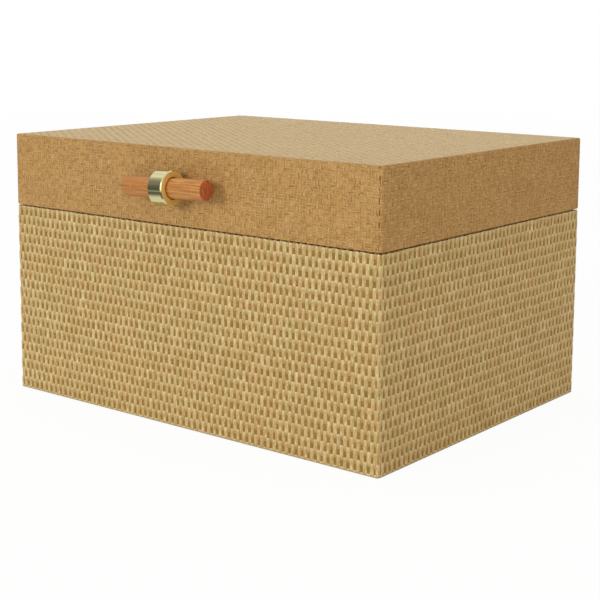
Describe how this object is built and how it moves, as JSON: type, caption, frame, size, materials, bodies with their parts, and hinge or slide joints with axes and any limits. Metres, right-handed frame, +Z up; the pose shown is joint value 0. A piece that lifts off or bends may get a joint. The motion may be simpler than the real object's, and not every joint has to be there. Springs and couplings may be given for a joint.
{
  "type": "keepsake box",
  "caption": "Rectangular keepsake box with a hinged lid, covered in woven straw over boards, with a wooden dowel pull held in a metal ring.",
  "frame": {"origin": "middle of the box's footprint, on the underside that it stands on", "axes": "+Z up, -Y towards the front with the pull, +X to the right of someone facing the front"},
  "size_m": [0.305, 0.2572, 0.177],
  "materials": {
    "straw_weave": "coarse woven straw, pale raised floats over brown slots",
    "tan_weave": "fine flat plain weave of tan paper strip, low sheen",
    "board": "raw medium-density fibreboard",
    "lining_cloth": "soft matt cloth on card",
    "underside_felt": "thin felt",
    "pull_metal": "satin pale champagne brass",
    "pull_wood": "oiled hardwood with fine straight grain",
    "hinge_brass": "brushed brass",
    "screw_steel": "zinc-plated steel"
  },
  "bodies": {
    "body": {"body_front_board": "board", "body_back_board": "board", "body_left_board": "board", "body_right_board": "board", "body_floor_board": "board", "body_covering": "straw_weave", "underside_sheet": "underside_felt", "body_lining_floor": "lining_cloth", "body_lining_front": "lining_cloth", "body_lining_back": "lining_cloth", "body_lining_left": "lining_cloth", "body_lining_right": "lining_cloth", "hinge_left_body_leaf": "hinge_brass", "hinge_left_body_screw_1": "hinge_brass", "hinge_left_body_screw_2": "hinge_brass", "hinge_left_pin": "hinge_brass", "hinge_right_body_leaf": "hinge_brass", "hinge_right_body_screw_1": "hinge_brass", "hinge_right_body_screw_2": "hinge_brass", "hinge_right_pin": "hinge_brass"},
    "lid": {"lid_front_board": "board", "lid_back_board": "board", "lid_left_board": "board", "lid_right_board": "board", "lid_top_board": "board", "lid_covering": "tan_weave", "lid_lining_top": "lining_cloth", "lid_lining_front": "lining_cloth", "lid_lining_back": "lining_cloth", "lid_lining_left": "lining_cloth", "lid_lining_right": "lining_cloth", "pull_ring": "pull_metal", "pull_dowel": "pull_wood", "pull_screw": "screw_steel", "pull_washer": "screw_steel", "hinge_left_lid_leaf": "hinge_brass", "hinge_left_lid_screw_1": "hinge_brass", "hinge_left_lid_screw_2": "hinge_brass", "hinge_right_lid_leaf": "hinge_brass", "hinge_right_lid_screw_1": "hinge_brass", "hinge_right_lid_screw_2": "hinge_brass"}
  },
  "joints": [
    {"name": "lid_hinge", "type": "hinge", "parent": "body", "child": "lid", "pos_m": [0, 0.11635, 0.1285], "axis": [-1, 0, 0], "range_deg": [0, 96]}
  ]
}
